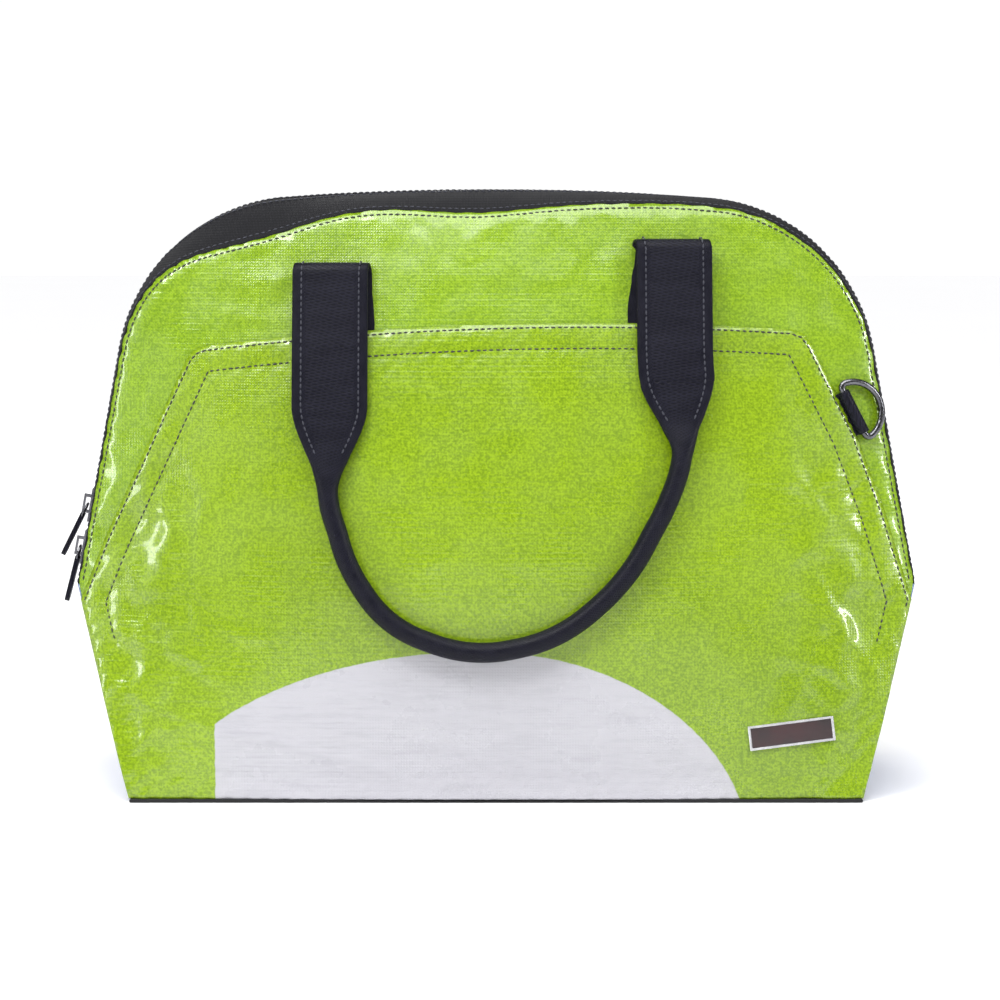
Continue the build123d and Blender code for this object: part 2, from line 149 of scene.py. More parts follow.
class Finish:
    """A material with short calls for the nodes that its pattern needs."""

    def __init__(self, name, roughness=0.5, metallic=0.0, **sockets):
        self.material = bpy.data.materials.new(name)
        self.material.use_nodes = True
        self.tree = self.material.node_tree
        self.shader = self.tree.nodes["Principled BSDF"]
        self.shader.inputs["Roughness"].default_value = roughness
        self.shader.inputs["Metallic"].default_value = metallic
        for socket, value in sockets.items():
            self.shader.inputs[socket.replace("_", " ")].default_value = value
        self.coordinates = self.node("ShaderNodeTexCoord")
        self.place = self.coordinates.outputs["Object"]

    def node(self, kind, **values):
        made = self.tree.nodes.new(kind)
        for key, value in values.items():
            setattr(made, key, value)
        return made

    def link(self, source, target):
        self.tree.links.new(source, target)

    def turned(self, turn=(0, 0, 0), scale=(1, 1, 1)):
        """Coordinates turned and scaled by a Mapping node."""
        made = self.node("ShaderNodeMapping")
        made.inputs["Rotation"].default_value = [math.radians(angle) for angle in turn]
        made.inputs["Scale"].default_value = scale
        self.link(self.place, made.inputs["Vector"])
        return made.outputs["Vector"]

    def noise(self, scale, detail=3.0, rough=0.55, source=None):
        made = self.node("ShaderNodeTexNoise")
        made.inputs["Scale"].default_value = scale
        made.inputs["Detail"].default_value = detail
        made.inputs["Roughness"].default_value = rough
        self.link(source or self.place, made.inputs["Vector"])
        return made.outputs["Fac"]

    def bands(self, pitch, axis, distort=0.0, source=None):
        """Smooth bands of the given pitch in metres across an axis."""
        made = self.node("ShaderNodeTexWave", wave_type="BANDS", bands_direction=axis)
        made.inputs["Scale"].default_value = WAVE_SCALE / pitch
        made.inputs["Distortion"].default_value = distort
        made.inputs["Detail"].default_value = 1.0
        self.link(source or self.place, made.inputs["Vector"])
        return made.outputs["Fac"]

    def maths(self, operation, first, second=0.0):
        made = self.node("ShaderNodeMath", operation=operation)
        for slot, value in enumerate((first, second)):
            if isinstance(value, (int, float)):
                made.inputs[slot].default_value = value
            else:
                self.link(value, made.inputs[slot])
        return made.outputs[0]

    def spread(self, value, low, high, to_low=0.0, to_high=1.0):
        made = self.node("ShaderNodeMapRange", interpolation_type="SMOOTHSTEP")
        made.inputs["From Min"].default_value = low
        made.inputs["From Max"].default_value = high
        made.inputs["To Min"].default_value = to_low
        made.inputs["To Max"].default_value = to_high
        self.link(value, made.inputs["Value"])
        return made.outputs["Result"]

    def mix(self, share, first, second):
        """Two colours, or colour sockets, mixed by a share."""
        made = self.node("ShaderNodeMix", data_type="RGBA")
        self.link(share, made.inputs["Factor"])
        for slot, value in ((6, first), (7, second)):
            if isinstance(value, tuple):
                made.inputs[slot].default_value = (*value, 1)
            else:
                self.link(value, made.inputs[slot])
        return made.outputs[2]

    def colour(self, source):
        self.link(source, self.shader.inputs["Base Color"])

    def rough(self, source):
        self.link(source, self.shader.inputs["Roughness"])

    def bump(self, height, distance, strength=1.0):
        """Adds a bump of the given depth in metres on top of those added before."""
        made = self.node("ShaderNodeBump")
        made.inputs["Distance"].default_value = distance
        made.inputs["Strength"].default_value = strength
        self.link(height, made.inputs["Height"])
        before = self.shader.inputs["Normal"]
        if before.is_linked:
            self.link(before.links[0].from_socket, made.inputs["Normal"])
        self.link(made.outputs["Normal"], before)


print("node helpers ready")

# %% [markdown]
# Tarpaulin vinyl is a woven scrim between two plastic films, printed on one side. Three things
# make it look real: the threads' grid pressed into the gloss, a print that is finely speckled
# rather than one flat colour, and a gloss that varies where the film is scuffed. The pale print
# at the foot of the front is part of the same film, so it is a mask in this finish, not a piece.

# %% Vinyl finish
SCRIM_PITCH = 1.45 * MM
RIB_PITCH = 2.6 * MM
PRINT_MIDDLE = -8 * MM
PRINT_LOW = -30 * MM             # the arch's centre lies under the base
PRINT_TALL = 110 * MM
PRINT_END = -145 * MM            # the print's upright left end


def vinyl(name, tint, deep, pale_print=False):
    """Printed tarpaulin: tint is the print's colour, deep its darker speckle."""
    made = Finish(name, roughness=0.3, Coat_Weight=0.45, Coat_Roughness=0.09, IOR=1.5)
    ribs = made.bands(RIB_PITCH, "Z", 1.5)
    grid = made.maths("MULTIPLY", made.bands(SCRIM_PITCH, "X", 0.6),
                      made.bands(SCRIM_PITCH, "Z", 0.6))
    blotch = made.noise(9.0, 4.0)
    speckle = made.noise(780.0, 2.0)
    share = made.maths("ADD", made.spread(blotch, 0.3, 0.75, 0.0, 0.30),
                       made.spread(speckle, 0.32, 0.68, 0.0, 0.75))
    share = made.maths("ADD", share, made.spread(grid, 0.2, 0.9, 0.0, 0.15))
    colour = made.mix(share, tint, deep)
    if pale_print:
        colour = made.mix(print_mask(made), colour, scuffed_white(made))
    made.colour(colour)
    made.rough(made.spread(made.noise(35.0, 5.0), 0.3, 0.7, 0.2, 0.42))
    worn = made.spread(made.noise(7.0, 2.0), 0.35, 0.65)
    made.bump(made.maths("MULTIPLY", grid, made.maths("ADD", 0.45, worn)), 0.10 * MM, 0.6)
    made.bump(made.maths("MULTIPLY", ribs, made.maths("SUBTRACT", 1.2, worn)), 0.10 * MM, 0.5)
    crackle = made.node("ShaderNodeTexVoronoi", feature="DISTANCE_TO_EDGE")
    crackle.inputs["Scale"].default_value = 26.0
    made.link(made.place, crackle.inputs["Vector"])
    made.bump(made.spread(crackle.outputs["Distance"], 0.0, 0.10), 0.25 * MM, 0.35)
    made.bump(made.noise(60.0, 4.0, 0.6), 0.8 * MM, 0.45)
    return made.material


def print_mask(made):
    """1 inside the pale print: a flat arch, wider at the left, with an upright end."""
    parts = made.node("ShaderNodeSeparateXYZ")
    made.link(made.place, parts.inputs[0])
    x, z = parts.outputs["X"], parts.outputs["Z"]
    middle = made.maths("ADD", x, -PRINT_MIDDLE)
    reach = made.spread(middle, -1 * MM, 1 * MM, 180 * MM, 140 * MM)
    flat = made.maths("DIVIDE", middle, reach)
    tall = made.maths("DIVIDE", made.maths("ADD", z, -PRINT_LOW), PRINT_TALL)
    round_part = made.maths("ADD", made.maths("POWER", made.maths("ABSOLUTE", flat), 2.0),
                            made.maths("POWER", tall, 2.0))
    wobble = made.maths("MULTIPLY", made.noise(220.0, 2.0), 0.012)
    edge_wobble = made.maths("MULTIPLY", made.noise(160.0, 2.0), 1.5 * MM)
    inside = made.spread(made.maths("ADD", round_part, wobble), 1.0, 1.012, 1.0, 0.0)
    end = made.spread(made.maths("ADD", x, edge_wobble), PRINT_END, PRINT_END + 0.7 * MM)
    front = made.spread(parts.outputs["Y"], -1 * MM, 1 * MM, 1.0, 0.0)
    return made.maths("MULTIPLY", made.maths("MULTIPLY", inside, end), front)


def scuffed_white(made):
    """Off-white film with faint grey scuffs along a few directions."""
    streaks = made.noise(40.0, 5.0, 0.7, made.turned((0, 24, 0), (1, 1, 9)))
    return made.mix(made.spread(streaks, 0.42, 0.72), (0.41, 0.405, 0.44), (0.37, 0.365, 0.40))


GREEN = (0.256, 0.390, 0.007)
DEEP_GREEN = (0.118, 0.205, 0.003)
FRESH_GREEN = (0.250, 0.395, 0.014)
front_vinyl = vinyl("vinyl_front_overlay", GREEN, DEEP_GREEN, pale_print=True)
yoke_vinyl = vinyl("vinyl_yoke", FRESH_GREEN, (0.125, 0.228, 0.006))
back_vinyl = vinyl("vinyl_back_overlay", GREEN, DEEP_GREEN)
blue_vinyl = vinyl("vinyl_gusset", (0.17, 0.235, 0.40), (0.10, 0.145, 0.26))
print("4 vinyl finishes")

# %% [markdown]
# The handles are cut from leather with a pressed cross-hatch, which hides wear. The hatch is two
# sets of fine diagonal ridges. Where a piece is swept along a path it carries its own UV map in
# metres, so the hatch turns with the strap. The zip's strips are a plain woven nylon.

# %% Leather and cloth finishes
def leather(name, own_map=True):
    made = Finish(name, roughness=0.46, Specular_IOR_Level=0.18)
    if own_map:
        made.place = made.coordinates.outputs["UV"]
    one = made.bands(0.95 * MM, "X", 2.5, made.turned((0, 0, 32)))
    two = made.bands(1.25 * MM, "X", 2.5, made.turned((0, 0, -52)))
    hatch = made.maths("MAXIMUM", made.spread(one, 0.35, 0.85), made.spread(two, 0.45, 0.95))
    patch = made.noise(120.0, 3.0)
    made.colour(made.mix(made.maths("MULTIPLY", hatch, patch), (0.0012, 0.0012, 0.0045),
                         (0.009, 0.009, 0.021)))
    made.rough(made.spread(patch, 0.3, 0.7, 0.36, 0.52))
    made.bump(hatch, 0.22 * MM, 0.9)
    made.bump(made.noise(900.0, 2.0), 0.05 * MM, 0.5)
    return made.material


def cloth(name, tint, light, pitch):
    """A plain weave seen close: two sets of threads that cross."""
    made = Finish(name, roughness=0.75, Specular_IOR_Level=0.25)
    weave = made.maths("MULTIPLY", made.bands(pitch, "X", 0.4), made.bands(pitch, "Z", 0.4))
    depth = made.maths("MULTIPLY", weave, made.bands(pitch, "Y", 0.4))
    cover = made.maths("ADD", weave, depth)
    made.colour(made.mix(made.spread(cover, 0.0, 1.1), tint, light))
    made.bump(cover, 0.12 * MM, 0.8)
    return made.material


strap_leather = leather("leather_crosshatch")
trim_leather = leather("leather_trim", own_map=False)
strip_cloth = cloth("nylon_strip", (0.003, 0.003, 0.004), (0.012, 0.012, 0.016), 0.8 * MM)
tape_cloth = cloth("zip_tape", (0.003, 0.003, 0.004), (0.010, 0.010, 0.013), 0.6 * MM)
lining_cloth = cloth("lining_nylon", (0.02, 0.02, 0.022), (0.06, 0.06, 0.065), 0.5 * MM)
core_cloth = cloth("cotton_core", (0.42, 0.40, 0.34), (0.62, 0.59, 0.52), 1.2 * MM)
base_cloth = cloth("base_cover", (0.009, 0.009, 0.010), (0.028, 0.028, 0.030), 1.0 * MM)


def thread(name, tint):
    made = Finish(name, roughness=0.6, Sheen_Weight=0.2)
    twist = made.bands(0.35 * MM, "DIAGONAL", 0.2)
    made.colour(made.mix(twist, tint, tuple(part * 2.2 + 0.01 for part in tint)))
    made.bump(twist, 0.05 * MM, 0.6)
    return made.material


black_thread = thread("thread_black", (0.006, 0.006, 0.007))
navy_thread = thread("thread_navy", (0.010, 0.011, 0.020))
print("leather, cloth and thread finishes")

# %% [markdown]
# Zip teeth, sliders and rings are plated metal. Plating is never quite even: fine brushing and a
# slow change in roughness stop it looking like a mirror ball.

# %% Metal finishes
def metal(name, tint, dark, roughness):
    made = Finish(name, metallic=1.0)
    smear = made.noise(180.0, 4.0)
    made.colour(made.mix(made.spread(smear, 0.3, 0.7), tint, dark))
    made.rough(made.spread(made.noise(420.0, 3.0), 0.3, 0.7, roughness, roughness + 0.14))
    made.bump(made.noise(2600.0, 2.0), 0.02 * MM, 0.5)
    return made.material


teeth_metal = metal("metal_teeth", (0.34, 0.34, 0.37), (0.16, 0.16, 0.18), 0.24)
gunmetal = metal("metal_gunmetal", (0.16, 0.16, 0.175), (0.09, 0.09, 0.10), 0.16)
bright_metal = metal("metal_bright", (0.80, 0.80, 0.82), (0.66, 0.66, 0.69), 0.14)


def enamel(name):
    """Dark red-black enamel with the faint orange-peel of poured lacquer."""
    made = Finish(name, roughness=0.16, Coat_Weight=0.6, Coat_Roughness=0.06)
    made.colour(made.mix(made.spread(made.noise(60.0, 2.0), 0.35, 0.65), (0.030, 0.006, 0.008),
                         (0.010, 0.003, 0.004)))
    made.bump(made.noise(500.0, 2.0), 0.03 * MM, 0.4)
    return made.material


def board(name):
    made = Finish(name, roughness=0.85)
    fibres = made.noise(300.0, 5.0, 0.7, made.turned(scale=(0.2, 1, 1)))
    made.colour(made.mix(made.spread(fibres, 0.3, 0.7), (0.05, 0.045, 0.04), (0.12, 0.11, 0.10)))
    made.bump(fibres, 0.1 * MM, 0.5)
    return made.material


dark_enamel = enamel("enamel_dark")
pressed_board = board("board_pressed")
print("metal, enamel and board finishes")

# %% [markdown]
# The CAD nodes that are already right keep their meshes and only take a finish.

# %% Finishes on CAD nodes
NODE_FINISH = {
    "front_zip_teeth": teeth_metal, "back_zip_teeth": teeth_metal, "zip_end_stops": teeth_metal,
    "front_d_ring": gunmetal, "back_d_ring": gunmetal, "upper_pull_ring": gunmetal,
    "lower_pull_ring": gunmetal, "name_plate_frame": bright_metal,
    "name_plate_backing": bright_metal, "name_plate_field": dark_enamel,
    "base_board": pressed_board,
    "upper_slider": gunmetal, "lower_slider": gunmetal,
}
for node, finish in NODE_FINISH.items():
    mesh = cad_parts[node].data
    mesh.materials.clear()
    mesh.materials.append(finish)
print(len(NODE_FINISH), "CAD nodes finished")

# %% [markdown]
# The front's form is read from the lining, whose outer wall runs 1.6 mm inside it. A ray from
# the front meets the wall at any x and z; near the edge, where the lining has already turned the
# corner, the form is carried on straight.

# %% The form of the two faces
def tree_of(node):
    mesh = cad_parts[node].data
    return BVHTree.FromPolygons([v.co for v in mesh.vertices],
                                [p.vertices for p in mesh.polygons])


LINING_GAP = 1.6 * MM
LINING_FLOOR = 7 * MM            # a ray below this height misses the lining's wall
FLAT_HALF = 170 * MM             # inside these the wall is met directly
FLAT_TOP = 250 * MM
INWARD = 0.025                   # share of the way in, from one sample to the next
FORM_CENTRE = Vector((0, 150 * MM))
lining_tree = tree_of("lining")


def wall_at(x, z):
    """The lining's front wall at x, z, or None beside it."""
    hit = lining_tree.ray_cast(Vector((x, -0.3, z)), Vector((0, 1, 0)))[0]
    return None if hit is None or hit.y > -25 * MM else hit.y


def form_y(x, z):
    """Depth of the front face at x, z."""
    here = wall_at(x, max(z, LINING_FLOOR))
    if here is not None and abs(x) <= FLAT_HALF and z <= FLAT_TOP:
        return here - LINING_GAP
    spot = Vector((x, z)) - FORM_CENTRE
    for near in (0.975, 0.955, 0.93, 0.90):
        first = wall_at(*(FORM_CENTRE + spot * near))
        second = wall_at(*(FORM_CENTRE + spot * (near - INWARD)))
        if first is not None and second is not None:
            break
    return first + (first - second) * (1 - near) / INWARD - LINING_GAP


def outline_of(*nodes, step=5 * MM):
    """The nodes' convex outline in the front view, thinned to about one point per step."""
    points = [(v.co.x, v.co.z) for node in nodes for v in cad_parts[node].data.vertices]
    hull = [Vector(points[i]) for i in geometry.convex_hull_2d(points)]
    kept = [hull[0]]
    for point in hull[1:]:
        if (point - kept[-1]).length > step:
            kept.append(point)
    return kept


body_outline = outline_of("front_upper_panel", "front_overlay_panel")
overlay_outline = outline_of("front_overlay_panel")
print("outlines:", len(body_outline), "and", len(overlay_outline), "points")

# %% [markdown]
# Every piece is finished the same way: its mesh becomes an object that rides on one body, and the
# CAD nodes that it stands for are hidden. The back of the bag is the front turned half round, so
# a piece can also be made twice. The turn is done in the mesh, so the object stays unturned.

# %% Making pieces
HALF_TURN = Matrix.Rotation(math.pi, 4, "Z")


def piece_of(name, bm, finish, replaced=(), body="bag", smooth=True, second=None):
    """Turns a bmesh into an object in the frame's coordinates, riding on a body."""
    mesh = bpy.data.meshes.new(name)
    for face in bm.faces:
        face.smooth = smooth
    bm.to_mesh(mesh)
    bm.free()
    mesh.materials.append(finish)
    if second:
        mesh.materials.append(second)
    made = bpy.data.objects.new(name, mesh)
    bpy.context.scene.collection.objects.link(made)
    if body:
        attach(made, body)
    if replaced:
        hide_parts(*replaced)
    return made


def turned_half(bm):
    """A copy of the piece at the other side of the bag."""
    twin = bm.copy()
    bmesh.ops.transform(twin, matrix=HALF_TURN, verts=twin.verts)
    return twin


def both_sides(name, bm, finish, replaced=(), body="bag", back_finish=None, thick=0.0,
               second=None):
    """The front piece and its half-turned twin for the back."""
    twin = turned_half(bm)
    for side, source, cover in (("front", bm, finish), ("back", twin, back_finish or finish)):
        rider = body if body == "bag" else f"{side}_{body}"
        piece = piece_of(f"{side}_{name}", source, cover, [f"{side}_{node}" for node in replaced],
                         rider, second=second)
        if thick:
            solid = piece.modifiers.new("thickness", "SOLIDIFY")
            solid.thickness = thick
            solid.offset = -1


def smooth_step(value, low, high):
    """0 up to low and 1 from high, with a smooth rise between them."""
    share = min(max((value - low) / (high - low), 0.0), 1.0)
    return share * share * (3 - 2 * share)


def bell(value, width):
    return math.exp(-(value / width) ** 2)


print("piece helpers ready")

# %% [markdown]
# The relief of the faces is what tells vinyl from painted board: the film is stiff, so it buckles
# in sharp little facets near the seams, and stays nearly flat in the middle. Each crease below is
# a line with a height and a width. Ridged noise makes the facets, and it is let in only near the
# sides and lower corners, where a filled bag's film is pushed about.

# %% Relief of the vinyl
# each crease: from x, z to x, z in mm, height in mm (negative is a valley), width in mm
CREASES = (
    (-190, 55, -145, 38, 1.0, 2.6), (-145, 38, -52, 16, 0.7, 2.4), (-200, 88, -150, 72, 0.9, 3.0),
    (-197, 110, -160, 62, -0.7, 3.5), (-176, 30, -158, 75, 0.6, 2.6),
    (-150, 92, -118, 84, 0.4, 3.0),
    (-32, 225, -12, 172, -0.35, 2.0), (4, 226, -12, 172, -0.35, 2.0),
    (-12, 172, -16, 130, 0.3, 2.4), (-46, 214, -28, 160, 0.25, 2.2), (18, 224, 6, 188, 0.25, 2.0),
    (-10, 150, -40, 118, 0.2, 2.4),
    (150, 172, 196, 120, 0.9, 3.2), (168, 160, 204, 92, -0.9, 3.4), (162, 118, 200, 60, 0.9, 3.0),
    (180, 96, 186, 24, 0.8, 3.0), (146, 84, 190, 56, 0.7, 2.8), (166, 44, 190, 16, -0.7, 2.6),
    (-130, 282, -72, 268, 1.0, 5.0), (-150, 262, -108, 250, 0.8, 5.0),
    (-176, 240, -150, 216, 0.7, 4.0), (118, 300, 168, 258, 0.7, 5.0),
    (150, 282, 150, 236, 0.5, 4.0), (120, 262, 176, 232, 0.5, 4.0), (10, 300, 16, 262, -0.6, 5.0),
    (40, 302, 62, 258, 0.5, 6.0), (-40, 296, -8, 262, 0.5, 6.0),
)


def crease_height(x, z):
    """Sum of the creases at x, z, in metres."""
    total = 0.0
    for x0, z0, x1, z1, high, wide in CREASES:
        along_x, along_z = x1 - x0, z1 - z0
        length = math.hypot(along_x, along_z)
        dx, dz = x / MM - x0, z / MM - z0
        along = (dx * along_x + dz * along_z) / length
        if not -8 < along < length + 8:
            continue
        off = (dx * along_z - dz * along_x) / length
        off += 1.6 * noise.noise(Vector((along * 0.06, high, wide)))
        if abs(off) < 3 * wide:
            fade = smooth_step(along, -6, 10) * smooth_step(length - along, -6, 10)
            total += high * fade * math.exp(-abs(off) / wide)
    return total * MM


def relief(x, z):
    """Buckles and waves of the film at x, z, in metres."""
    side = smooth_step(abs(x), 130 * MM, 185 * MM) * smooth_step(z, 195 * MM, 150 * MM)
    top = smooth_step(z, 225 * MM, 262 * MM)
    facets = noise.ridged_multi_fractal(Vector((x * 34, 0, z * 26)), 1.0, 2.1, 3, 1.0, 2.0,
                                        noise_basis="PERLIN_ORIGINAL") - 1.0
    waves = noise.noise(Vector((x * 11, 4, z * 9)))
    return (crease_height(x, z) + facets * (1.9 * side + 0.9 * top + 0.12) * MM
            + waves * (0.6 + 1.4 * top) * MM)


print(len(CREASES), "creases, one of them", round(crease_height(-0.16, 0.043) / MM, 2), "mm high")

# %% [markdown]
# The zip pulls the panel's top edge about: over the left shoulder and in the middle the edge has
# sagged and shows the black strip above it. A real bag is never symmetrical here, so the edge of
# the panel is lowered by a smooth amount that fades out further down.

# %% Sag of the top edge
def sag(x):
    """How far the top edge hangs below its cut line at x, in metres."""
    return (13 * bell(x + 132 * MM, 42 * MM) + 4.0 * bell(x + 12 * MM, 38 * MM)
            - 3.2 * bell(x - 100 * MM, 55 * MM)) * MM


def sagged(x, z):
    """Height that a point at x, z of the cut panel hangs at."""
    return z - sag(x) * smooth_step(z, 215 * MM, 300 * MM)


def inside(point, outline):
    """Distance from a point to the nearest side of a convex outline, positive inside."""
    best = 1.0
    for first, last in zip(outline, outline[1:] + outline[:1]):
        side = last - first
        normal = Vector((-side.y, side.x)).normalized()
        best = min(best, normal.dot(point - first))
    return best


def trimmed_sheet(outline, spacing=2.6 * MM):
    """A flat grid in the front view, trimmed to a convex outline, facing the front."""
    low = Vector((min(p.x for p in outline), min(p.y for p in outline)))
    high = Vector((max(p.x for p in outline), max(p.y for p in outline)))
    size, centre = (high - low) / 2, (high + low) / 2
    bm = bmesh.new()
    place = (Matrix.Translation((centre.x, 0, centre.y)) @ Matrix.Rotation(math.pi / 2, 4, "X")
             @ Matrix.Diagonal((size.x + 1 * MM, size.y + 1 * MM, 1, 1)))
    bmesh.ops.create_grid(bm, x_segments=int(2 * size.x / spacing),
                          y_segments=int(2 * size.y / spacing), size=1, matrix=place)
    for first, last in zip(outline, outline[1:] + outline[:1]):
        side = last - first
        bmesh.ops.bisect_plane(bm, geom=bm.verts[:] + bm.edges[:] + bm.faces[:], dist=1e-6,
                               plane_co=(first.x, 0, first.y), plane_no=(side.y, 0, -side.x),
                               clear_outer=True)
    return bm


turning = (body_outline[1] - body_outline[0]).cross(body_outline[2] - body_outline[1])
print("outline runs", "anticlockwise" if turning > 0 else "clockwise")

# %% [markdown]
# The yoke is one skin behind everything else on the face. Its edge is turned over where it meets
# the zip strip, and the stitch row 2 mm inside draws the film down into a shallow groove, with a
# small pucker between stitches.

# %% Yoke
STITCH_PITCH = 3.3 * MM
YOKE_ROW = 2.6 * MM


def groove(edge, row, depth):
    return -depth * bell(edge - row, 1.3 * MM)


def yoke_offset(x, z):
    """Height of the yoke's outer face over the form."""
    edge = inside(Vector((x, z)), body_outline)
    pucker = 0.35 * MM * math.sin((x + z) * 2 * math.pi / (4 * STITCH_PITCH)) * bell(edge, 7 * MM)
    turned = -1.6 * MM * bell(edge, 1.1 * MM)
    return (relief(x, z) * smooth_step(edge, -1 * MM, 9 * MM) + pucker + turned
            + groove(edge, YOKE_ROW, 0.45 * MM))


def drape(bm, offset, warp=True):
    """Moves a flat sheet onto the form, with an offset outwards."""
    for vert in bm.verts:
        x, z = vert.co.x, vert.co.z
        low = sagged(x, z) if warp else z
        vert.co = Vector((x, form_y(x, min(low, z)) - offset(x, z), low))


yoke = trimmed_sheet(body_outline)
drape(yoke, yoke_offset)
print("yoke", len(yoke.faces), "faces")
both_sides("yoke_skin", yoke, yoke_vinyl, ["upper_panel"], thick=1.2 * MM)

# %% [markdown]
# The overlay is sewn on with two rows, 2 mm and 13 mm inside its folded edge. Between the rows it
# lies flat; inside the second row it is free to belly out a little. Where a strap's root passes
# under the top edge the overlay bulges over it.

# %% Overlay
OUTER_ROW = 2.2 * MM
INNER_ROW = 13 * MM
ROOT_MIDDLES = (-83.5 * MM, 89.5 * MM)
LAID_FLAT = 60 * MM              # below this height only the side seams draw the overlay in


def overlay_offset(x, z):
    """Height of the overlay's outer face over the form."""
    edge = inside(Vector((x, z)), overlay_outline)
    if z < LAID_FLAT:
        edge = max(edge, min(INNER_ROW, inside(Vector((x, LAID_FLAT)), overlay_outline)))
    over_root = max(smooth_step(abs(x - middle), 26 * MM, 17 * MM) for middle in ROOT_MIDDLES)
    over_root *= smooth_step(z, 205 * MM, 226 * MM)
    folded = 1.2 * MM * smooth_step(edge, -0.2 * MM, 1.1 * MM)
    belly = 0.9 * MM * smooth_step(edge, 12 * MM, 34 * MM)
    pucker = 0.22 * MM * math.sin((x - z) * 2 * math.pi / (3 * STITCH_PITCH))
    pucker *= bell(edge - OUTER_ROW, 4 * MM) + bell(edge - INNER_ROW, 5 * MM)
    return (1.0 * MM + folded + belly + 0.9 * MM * over_root + pucker
            + relief(x, z) * smooth_step(edge, 1 * MM, 12 * MM)
            + groove(edge, OUTER_ROW, 0.4 * MM) + groove(edge, INNER_ROW, 0.5 * MM))


overlay = trimmed_sheet(overlay_outline, 2.2 * MM)
drape(overlay, overlay_offset, warp=False)
print("overlay", len(overlay.faces), "faces")
both_sides("overlay_skin", overlay, front_vinyl, ["overlay_panel"], back_finish=back_vinyl,
           thick=1.0 * MM)

# %% [markdown]
# The gusset is one ring of cloth and vinyl between the two faces: blue vinyl below the zip's
# ends, black nylon strips beside the zip above them. Each station of the face's outline is
# carried across to the zip line, with a slight crown and the puckers that a sewn-in strip has.

# %% Gusset strips
def station_points():
    """Points of the face's outline from the left foot over the top to the right foot."""
    start = min(range(len(body_outline)),
                key=lambda i: (body_outline[i].y > 2 * MM, body_outline[i].x))
    ring = body_outline[start:] + body_outline[:start]
    if ring[1].y < ring[0].y + 1 * MM:
        ring = [ring[0]] + ring[:0:-1]
    last = max(range(len(ring)), key=lambda i: (ring[i].y < 2 * MM, ring[i].x))
    rough = ring[:last + 1]
    even = []
    for first, second in zip(rough, rough[1:]):
        count = max(1, round((second - first).length / (3.0 * MM)))
        even += [first.lerp(second, step / count) for step in range(count)]
    return even + [rough[-1]]


WAIST_Z = 110 * MM
stations = station_points()
print(len(stations), "stations, from", [round(value / MM) for value in stations[0]], "to",
      [round(value / MM) for value in stations[-1]])


def outward(index):
    """The outline's outward direction at a station, in the front view."""
    before, after = stations[max(index - 1, 0)], stations[min(index + 1, len(stations) - 1)]
    run = (after - before).normalized()
    return Vector((-run.y, run.x))


ZIP_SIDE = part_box("front_zip_tape")[1][0] + 1.0 * MM - max(p.x for p in body_outline)
ZIP_TOP = 6.5 * MM


def zip_point(index):
    """Where the zip line, or the middle seam below it, passes this station."""
    point, normal = stations[index], outward(index)
    if point.y < WAIST_Z:
        return point + Vector((math.copysign(ZIP_SIDE * point.y / WAIST_Z, point.x), 0))
    return point + normal * (ZIP_TOP + (ZIP_SIDE - ZIP_TOP) * min(1, abs(normal.x) * 1.15))


def across(index, share, half_gap, crown):
    """A point of the strip at a station: share 0 at the face, 1 at the zip."""
    point, end = stations[index], zip_point(index)
    low = sagged(point.x, point.y)
    face = Vector((point.x, form_y(point.x, max(min(low, point.y), 0)) + 1.0 * MM, low))
    far = Vector((end.x, -half_gap, end.y))
    spot = face.lerp(far, share)
    normal = outward(index)
    rise = crown * (1 - 0.8 * abs(normal.x))
    ripple = 0.45 * MM * noise.noise(Vector((index * 0.55, share * 2.5, 3)))
    return spot + Vector((normal.x, 0, normal.y)) * (rise + ripple) * math.sin(math.pi * share)


def strip_between(indices, half_gap, crown, rows=10):
    """A sheet lofted across the stations, facing outwards."""
    bm = bmesh.new()
    bmesh.ops.create_grid(bm, x_segments=len(indices) - 1, y_segments=rows, size=0.5)
    for vert in bm.verts:
        index = indices[round((vert.co.x + 0.5) * (len(indices) - 1))]
        vert.co = across(index, vert.co.y + 0.5, half_gap, crown)
    return bm


print("zip stands out", round(ZIP_SIDE / MM, 2), "mm at the sides")
above = [i for i, p in enumerate(stations) if p.y >= WAIST_Z - 2 * MM]
left_low = [i for i, p in enumerate(stations) if p.y <= WAIST_Z + 1 * MM and p.x < 0]
right_low = [i for i, p in enumerate(stations) if p.y <= WAIST_Z + 1 * MM and p.x > 0]
STRIP_GAP = 12.6 * MM            # half of the gap between the strips
STRIP_CROWN = 1.4 * MM
strip = strip_between(above, STRIP_GAP, STRIP_CROWN)
both_sides("strip_skin", strip, strip_cloth, ["zip_strip"], thick=1.1 * MM)
for side, low in (("left", left_low), ("right", right_low)):
    end = strip_between(low, 0.0, 2.0 * MM, 14)
    both_sides(f"end_gusset_skin_{side}", end, blue_vinyl, thick=1.1 * MM)
    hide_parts(f"{side}_end_gusset")
print("strips and end gussets lofted")

# %% [markdown]
# The base is a stiff cover, wrapped in black, a little wider than the faces' foot, so that it
# shows as a thin dark line under the front edge.

# %% Base cover and stage
low_corner, high_corner = (Vector(corner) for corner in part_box("base_panel"))
base = bmesh.new()
place = (Matrix.Translation((high_corner + low_corner) / 2)
         @ Matrix.Diagonal((*(high_corner - low_corner), 1)))
bmesh.ops.create_cube(base, size=1, matrix=place)
bmesh.ops.bevel(base, geom=base.edges[:], offset=0.6 * MM, affect="EDGES", segments=3, profile=0.5,
                material=-1)
piece_of("base_cover", base, base_cloth, ["base_panel"])

